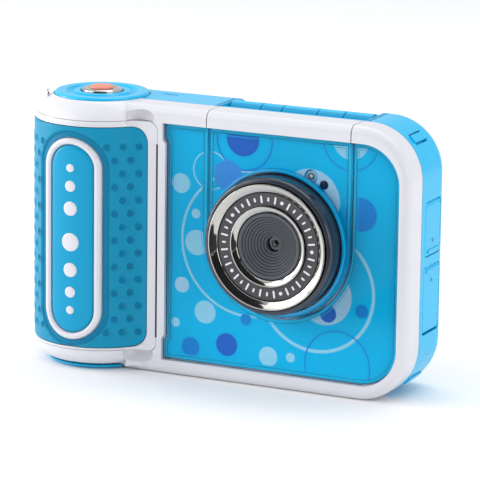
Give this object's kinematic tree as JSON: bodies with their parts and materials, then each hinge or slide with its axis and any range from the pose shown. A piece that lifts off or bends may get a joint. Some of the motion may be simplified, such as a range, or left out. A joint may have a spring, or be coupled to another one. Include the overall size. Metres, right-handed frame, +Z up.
{
  "type": "instant-print toy camera",
  "caption": "Children's instant-print camera: round grip with a swing-out paper door, boxy body with a clear face plate, flip-up lens door, rear screen, d-pad and side port flaps",
  "frame": {"origin": "on the flat base, at the middle of the width and on the grip's axis in depth", "axes": "+X to the port side, the grip is at -X; -Y is where the lens looks; +Z up"},
  "size_m": [0.1493, 0.0479, 0.0989],
  "materials": {
    "white_plastic": "satin",
    "blue_plastic": "gloss",
    "bay_plastic": "satin",
    "skin": "matte",
    "plaque": "satin",
    "clear_plastic": "gloss",
    "printed_insert": "gloss",
    "dark_plastic": "gloss",
    "ring_grey": "satin",
    "chrome": "polished",
    "lens_black": "gloss",
    "led": "gloss",
    "cap_red": "satin",
    "ok_orange": "satin",
    "tear": "satin",
    "steel": "satin",
    "head_ceramic": "satin",
    "roller_rubber": "matte",
    "gear_plastic": "satin",
    "roll_paper": "matte",
    "board": "satin",
    "battery": "satin",
    "lcd": "matte",
    "screen_glass": "gloss",
    "pivot": "satin"
  },
  "bodies": {
    "case": {"front_case": "white_plastic", "back_case": "blue_plastic", "button_ring": "blue_plastic", "base_ring": "blue_plastic", "faceplate": "clear_plastic", "face_insert": "printed_insert", "flip_bay": "blue_plastic", "flip_hinge_pin": "steel", "screen_frame": "white_plastic", "screen_window": "screen_glass", "lcd_module": "lcd", "main_board": "board", "battery_pack": "battery", "speaker": "dark_plastic", "usb_socket": "steel", "sd_socket": "steel", "paper_bay": "bay_plastic", "thermal_head": "head_ceramic", "head_bracket": "steel", "stepper_motor": "steel", "strap_loop": "chrome", "door_hinge_pin": "steel", "button_board": "board", "case_screw_1": "steel", "case_screw_2": "steel", "case_screw_3": "steel", "case_screw_4": "steel"},
    "paper_door": {"door_shell": "white_plastic", "grip_skin": "skin", "badge_ring": "white_plastic", "badge_plaque": "plaque", "tear_bar": "tear"},
    "platen": {"platen_roller": "roller_rubber", "platen_shaft": "steel", "platen_gear": "gear_plastic"},
    "roll": {"paper_roll": "roll_paper"},
    "idler": {"idler_gear": "gear_plastic"},
    "pinion": {"motor_pinion": "gear_plastic"},
    "flip_door": {"flip_frame": "white_plastic", "flip_plate": "clear_plastic", "flip_insert": "printed_insert", "flip_back": "blue_plastic", "lens_barrel": "dark_plastic", "lens_bezel": "chrome", "lens_ring": "ring_grey", "lens_inner_ring": "chrome", "lens_cone": "ring_grey", "camera_module": "lens_black", "flash_led": "led"},
    "shutter": {"shutter_button": "chrome", "shutter_cap": "cap_red"},
    "usb_cover": {"usb_flap": "blue_plastic"},
    "sd_cover": {"sd_flap": "blue_plastic"},
    "dpad_gimbal": {"dpad_pivot": "pivot"},
    "dpad_ring": {"dpad": "white_plastic"},
    "ok": {"ok_button": "ok_orange"},
    "mode": {"mode_button": "white_plastic"},
    "play": {"play_button": "white_plastic"},
    "print": {"print_button": "white_plastic"},
    "erase": {"erase_button": "white_plastic"}
  },
  "joints": [
    {"name": "paper_door_hinge", "type": "hinge", "parent": "case", "child": "paper_door", "pos_m": [-0.0733, 0.0018, 0.048], "axis": [0, 0, -1], "range_deg": [0, 105]},
    {"name": "paper_roll_spin", "type": "hinge", "parent": "case", "child": "roll", "pos_m": [-0.05, 0, 0.0475], "axis": [0, 0, 1], "continuous": true},
    {"name": "platen_spin", "type": "hinge", "parent": "paper_door", "child": "platen", "pos_m": [-0.0265, -0.005, 0.047], "axis": [0, 0, 1], "continuous": true},
    {"name": "idler_spin", "type": "hinge", "parent": "case", "child": "idler", "pos_m": [-0.02225, 0.00236, 0.082], "axis": [0, 0, 1], "continuous": true},
    {"name": "pinion_spin", "type": "hinge", "parent": "case", "child": "pinion", "pos_m": [-0.0185, 0.00886, 0.082], "axis": [0, 0, 1], "continuous": true},
    {"name": "flip_hinge", "type": "hinge", "parent": "case", "child": "flip_door", "pos_m": [0.0244, 0.0085, 0.0914], "axis": [-1, 0, 0], "range_deg": [0, 180]},
    {"name": "shutter_press", "type": "slide", "parent": "case", "child": "shutter", "axis": [0, 0, -1], "range_m": [0, 0.0012], "stiffness_N_per_m": 400, "springref_m": -0.0006},
    {"name": "usb_flap_hinge", "type": "hinge", "parent": "case", "child": "usb_cover", "pos_m": [0.0726, 0.0081, 0.0675], "axis": [0, -1, 0], "range_deg": [0, 95]},
    {"name": "sd_flap_hinge", "type": "hinge", "parent": "case", "child": "sd_cover", "pos_m": [0.0726, 0.0077, 0.0234], "axis": [0, 1, 0], "range_deg": [0, 95]},
    {"name": "dpad_tilt_x", "type": "hinge", "parent": "case", "child": "dpad_gimbal", "pos_m": [-0.024, 0.018, 0.05], "axis": [1, 0, 0], "range_deg": [-3, 3], "stiffness_Nm_per_rad": 0.03},
    {"name": "dpad_tilt_z", "type": "hinge", "parent": "dpad_gimbal", "child": "dpad_ring", "pos_m": [-0.024, 0.018, 0.05], "axis": [0, 0, 1], "range_deg": [-3, 3], "stiffness_Nm_per_rad": 0.03},
    {"name": "ok_press", "type": "slide", "parent": "case", "child": "ok", "axis": [0, -1, 0], "range_m": [0, 0.0005], "stiffness_N_per_m": 300, "springref_m": -0.0006},
    {"name": "mode_press", "type": "slide", "parent": "case", "child": "mode", "axis": [0, -1, 0], "range_m": [0, 0.0008], "stiffness_N_per_m": 300, "springref_m": -0.0006},
    {"name": "play_press", "type": "slide", "parent": "case", "child": "play", "axis": [0, -1, 0], "range_m": [0, 0.0008], "stiffness_N_per_m": 300, "springref_m": -0.0006},
    {"name": "print_press", "type": "slide", "parent": "case", "child": "print", "axis": [0, -1, 0], "range_m": [0, 0.0008], "stiffness_N_per_m": 300, "springref_m": -0.0006},
    {"name": "erase_press", "type": "slide", "parent": "case", "child": "erase", "axis": [0, -1, 0], "range_m": [0, 0.0008], "stiffness_N_per_m": 300, "springref_m": -0.0006}
  ],
  "couplings": [
    {"joint": "platen_spin", "follows": "paper_roll_spin", "ratio": 3.75},
    {"joint": "idler_spin", "follows": "paper_roll_spin", "ratio": -2.625},
    {"joint": "pinion_spin", "follows": "paper_roll_spin", "ratio": 5.25}
  ]
}
